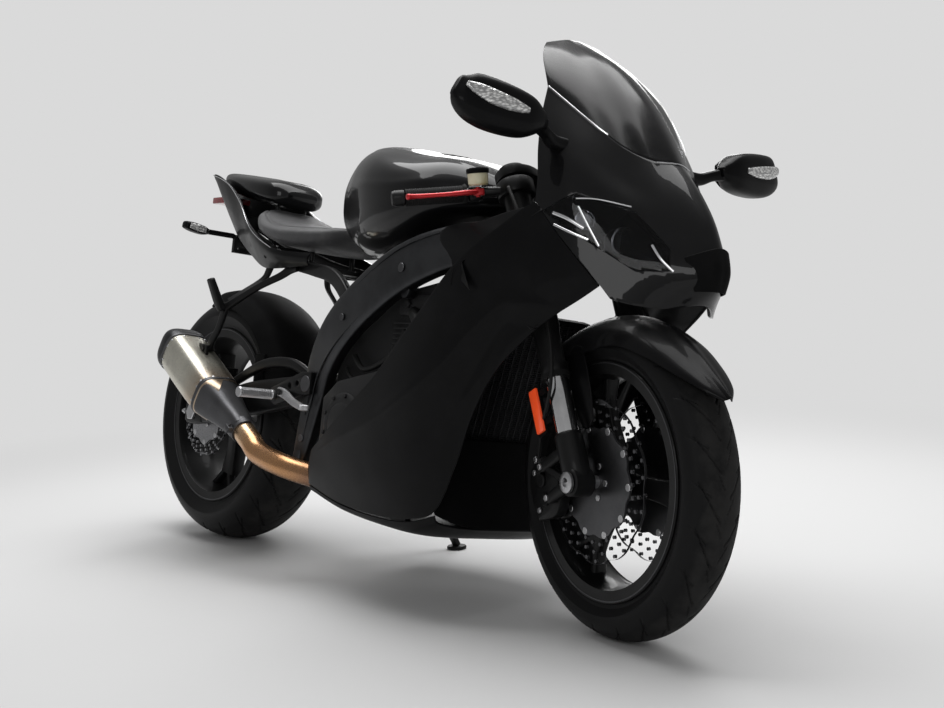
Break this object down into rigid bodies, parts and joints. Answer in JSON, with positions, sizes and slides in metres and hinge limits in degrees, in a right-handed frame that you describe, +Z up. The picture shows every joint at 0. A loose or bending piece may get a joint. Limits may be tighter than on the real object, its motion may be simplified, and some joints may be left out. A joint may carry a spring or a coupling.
{
  "type": "sport motorcycle",
  "caption": "Sport motorcycle with full fairing, tall screen, twin-spar frame, inverted fork and single muffler, leaning on its side stand.",
  "frame": {"origin": "on the floor below the middle of the parked motorcycle's box", "axes": "+X forward, +Y to the rider's left, +Z up; the motorcycle leans 10.4 degrees to the left"},
  "size_m": [2.0412, 0.885, 1.1626],
  "materials": {
    "black_metal": "satin",
    "chain_steel": "oiled",
    "disc_steel": "brushed",
    "engine_metal": "painted",
    "gloss_black": "gloss",
    "grey_frame": "satin anodised",
    "heat_tinted": "heat tinted",
    "lamp_clear": "gloss",
    "lamp_red": "gloss",
    "matt_black": "matt",
    "polished_tube": "polished",
    "red_metal": "satin anodised",
    "rubber": "matt",
    "satin_black": "satin",
    "seat_leather": "satin",
    "shock_metal": "satin",
    "silver_metal": "satin",
    "smoked_screen": "gloss",
    "titanium": "satin",
    "tyre": "matt"
  },
  "bodies": {
    "chassis": {"frame": "grey_frame", "subframe": "black_metal", "swingarm": "black_metal", "rear_axle": "silver_metal", "shock_absorber": "shock_metal", "engine": "engine_metal", "radiator": "matt_black", "exhaust_pipe": "heat_tinted", "muffler": "titanium", "fuel_tank": "gloss_black", "fuel_cap": "black_metal", "rider_seat": "seat_leather", "pillion_seat": "gloss_black", "tail_cowl": "gloss_black", "rear_lights": "lamp_red", "nose_fairing": "gloss_black", "windscreen": "smoked_screen", "headlights": "lamp_clear", "side_fairings": "satin_black", "belly_pan": "satin_black", "mirrors": "gloss_black", "instrument_panel": "matt_black", "rider_footrests": "silver_metal", "passenger_footrests": "black_metal", "rear_hugger": "matt_black", "rear_caliper": "black_metal", "chain": "chain_steel"},
    "steering": {"triple_clamps": "black_metal", "fork_tubes": "black_metal", "fork_stanchions": "polished_tube", "fork_feet": "black_metal", "front_calipers": "black_metal", "front_fender": "satin_black", "handlebars": "black_metal", "grips": "rubber", "hand_levers": "red_metal", "front_axle": "silver_metal"},
    "front_wheel": {"front_tyre": "tyre", "front_rim": "black_metal", "front_discs": "disc_steel"},
    "rear_wheel": {"rear_tyre": "tyre", "rear_rim": "black_metal", "rear_disc": "disc_steel", "rear_sprocket": "disc_steel"},
    "side_stand": {"side_stand": "black_metal"}
  },
  "joints": [
    {"name": "steering_turn", "type": "hinge", "parent": "chassis", "child": "steering", "pos_m": [0.83142, -0.17431, 0], "axis": [-0.4226, 0.1636, 0.8914], "range_deg": [-16.2, 37.8]},
    {"name": "front_wheel_spin", "type": "hinge", "parent": "steering", "child": "front_wheel", "pos_m": [0.72392, -0.12538, 0.29886], "axis": [0.1698, 0.9804, -0.0994], "continuous": true},
    {"name": "rear_wheel_spin", "type": "hinge", "parent": "chassis", "child": "rear_wheel", "pos_m": [-0.70058, -0.11612, 0.31706], "axis": [0, 0.9836, -0.1805], "continuous": true},
    {"name": "side_stand_fold", "type": "hinge", "parent": "chassis", "child": "side_stand", "pos_m": [-0.16058, 0.05983, 0.20104], "axis": [0, 0.932, 0.3625], "range_deg": [0, 98]}
  ]
}
